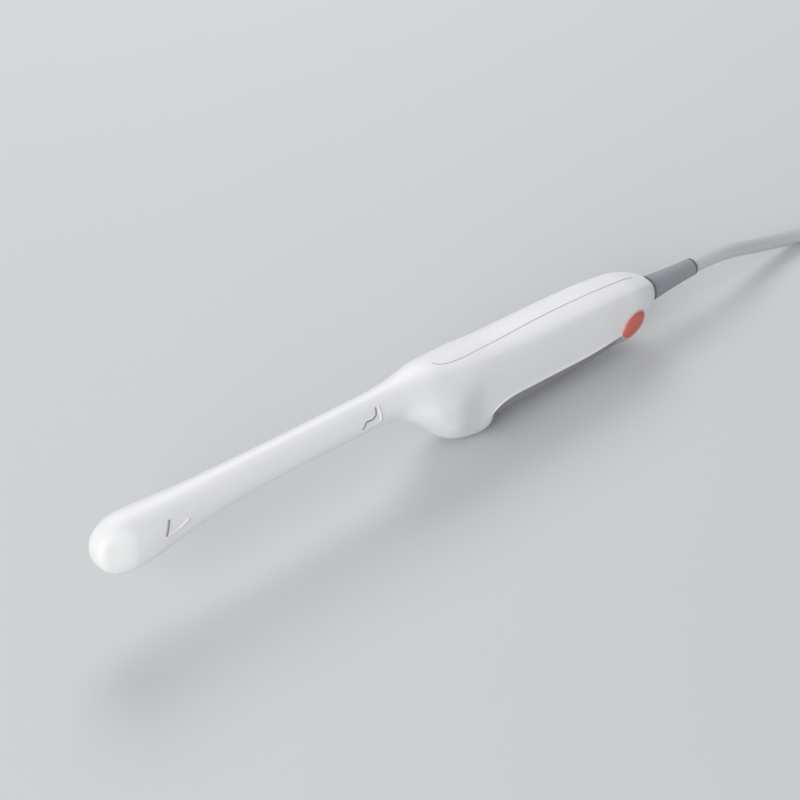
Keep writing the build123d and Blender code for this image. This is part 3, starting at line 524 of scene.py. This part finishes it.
# Domed orientation marker with its raised rim, whose pale colour is a painted highlight, and the dark line
# at the end of the strain relief
marker_half_length = 7.0
marker_half_width = 4.6
marker_rise = 1.3
marker_frame = Matrix.Translation((272.3, -11.25, -13.4)) @ Matrix.Rotation(math.radians(4.4), 4, "Z")
marker_frame = marker_frame @ Matrix.Rotation(math.radians(-26), 4, "Y")
marker_steps = [(1.0, -1.5), (1.0, 0.1), (0.985, 0.4), (0.94, 0.65), (0.85, 0.85), (0.7, 1.05), (0.5, 1.2),
                (0.25, 1.28)]
circle = [2 * math.pi * count / 48 for count in range(48)]


def marker_ring(half_length, half_width, rise):
    """Ring round the marker's middle, this far out from its seat."""
    flat = [(half_length * math.cos(a), -rise, half_width * math.sin(a)) for a in circle]
    return [tuple(marker_frame @ Vector(spot)) for spot in flat]


marker_loops = [marker_ring(marker_half_length * share, marker_half_width * share, marker_rise * rise)
                for share, rise in marker_steps]
skinned("marker_dome", marker_loops, 50, ["first", "last"], "marker", "orientation_marker")
# Raised rim ring round the marker, coloured pale as a painted highlight
rim_ring = marker_ring(marker_half_length + 0.25, marker_half_width + 0.25, 0.15)
bead_line("marker_rim_painted_highlight", rim_ring, 0.32, "marker_rim_painted_highlight", closed=True)
boot_end = 318.55
boot_end_radius = 3.4
boot_ring = [(boot_end, boot_end_radius * math.cos(a), boot_seat_z + boot_end_radius * math.sin(a))
             for a in circle]
bead_line("boot_end_line", boot_ring, 0.42, "dark_line", closed=True)

# The cable in one line: down from the strain relief, round the hank and into the connector
cable_radius = 0.0032
drop = [
    (0.159063, 0.0, 0.018651),
    (0.176063, 0.0, 0.017909),
    (0.200, 0.0006, 0.0099),
    (0.226, -0.0008, 0.0035),
    (0.250, -0.005, 0.0033),
    (0.267, -0.0155, 0.0033),
    (0.283, -0.0226, 0.0036),
]
lead_in = [
    (0.3855, -0.0253, 0.0107),
    (0.397, -0.0246, 0.0112),
    (0.410, -0.0202, 0.0144),
    (0.424, -0.015, 0.018),
    (0.436, -0.015, 0.018),
]
near_turn = 0.3081
far_turn = 0.3761
inner_loop = 0.0195
turn_bulge = 1.03
pitch = 2 * cable_radius
bottom = 0.00105 + cable_radius
slots = [(1, 0), (0, 0), (0, 1), (0, 2), (0, 3), (1, 3), (1, 2), (1, 1)]
steps = 20
last_steps = 6
first_crossing = 0.95
crossing_shift = 0.1
crossing_half = 0.07


def lap_place(phase, loop):
    """Place on a lap of the hank: along its near side, round the far turn and back round the near one."""
    if phase <= 0.25:
        return near_turn + (far_turn - near_turn) * phase * 4, -loop
    if phase < 0.5:
        angle = -math.pi / 2 + math.pi * (phase - 0.25) * 4
        return far_turn + loop * turn_bulge * math.cos(angle), loop * turn_bulge * math.sin(angle)
    if phase <= 0.75:
        return far_turn - (far_turn - near_turn) * (phase - 0.5) * 4, loop
    angle = math.pi / 2 + math.pi * (phase - 0.75) * 4
    return near_turn + loop * turn_bulge * math.cos(angle), loop * turn_bulge * math.sin(angle)


hank = []
for count in range((len(slots) - 1) * steps + last_steps):
    current, step = divmod(count, steps)
    following = min(current + 1, len(slots) - 1)
    crossing = first_crossing - crossing_shift * current
    blend = ease(crossing - crossing_half, crossing + crossing_half, step / steps)
    column, row = (a + (b - a) * blend for a, b in zip(slots[current], slots[following]))
    hank.append((*lap_place(step / steps, inner_loop + pitch * column), bottom + pitch * row))
line = drop + hank + lead_in
curve = bpy.data.curves.new("cable_line", "CURVE")
curve.dimensions = "3D"
spline = curve.splines.new("NURBS")
spline.points.add(len(line) - 1)
for point, spot in zip(spline.points, line):
    point.co = (*spot, 1.0)
spline.order_u = 3
spline.use_endpoint_u = True
spline.resolution_u = 8
curve.bevel_depth = cable_radius
curve.bevel_resolution = 5
curve.use_fill_caps = True
curve.materials.append(looks["jacket"])
cable = placed("cable_line", curve)
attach(cable, "probe")
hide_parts("cable", "cable_hank", "cable_tail")

# Floor
floor_half = 6
corners = [(-1, -1), (1, -1), (1, 1), (-1, 1)]
floor_mesh = bpy.data.meshes.new("floor")
floor_mesh.from_pydata([(floor_half * x, floor_half * y, 0) for x, y in corners], [], [(0, 1, 2, 3)])
floor = placed("floor", floor_mesh)
floor_look = bpy.data.materials.new("pale_floor")
floor_look.use_nodes = True
floor_shader = floor_look.node_tree.nodes["Principled BSDF"]
floor_shader.inputs["Base Color"].default_value = (0.60, 0.61, 0.62, 1)
floor_shader.inputs["Roughness"].default_value = 0.9
floor_shader.inputs["Specular IOR Level"].default_value = 0.1
floor_mesh.materials.append(floor_look)


# Light

def lamp(name, spot, target, size, power):
    """Square soft box at a spot, facing the target."""
    light = bpy.data.lights.new(name, "AREA")
    light.shape = "SQUARE"
    light.size = size
    light.energy = power
    holder = placed(name, light)
    holder.location = spot
    holder.rotation_euler = (Vector(target) - Vector(spot)).to_track_quat("-Z", "Y").to_euler()


lamp("back_light", (0.55, 0.95, 1.0), (0, 0, 0), size=0.8, power=9.6)
lamp("side_light", (-1.65, -0.70, 0.76), (-0.05, 0, 0.03), size=1.3, power=28.0)
world = bpy.data.worlds.new("studio")
world.use_nodes = True
background = world.node_tree.nodes["Background"]
background.inputs["Color"].default_value = (0.97, 0.98, 1.0, 1)
background.inputs["Strength"].default_value = 0.5
scene.world = world
scene.view_settings.view_transform = "Standard"
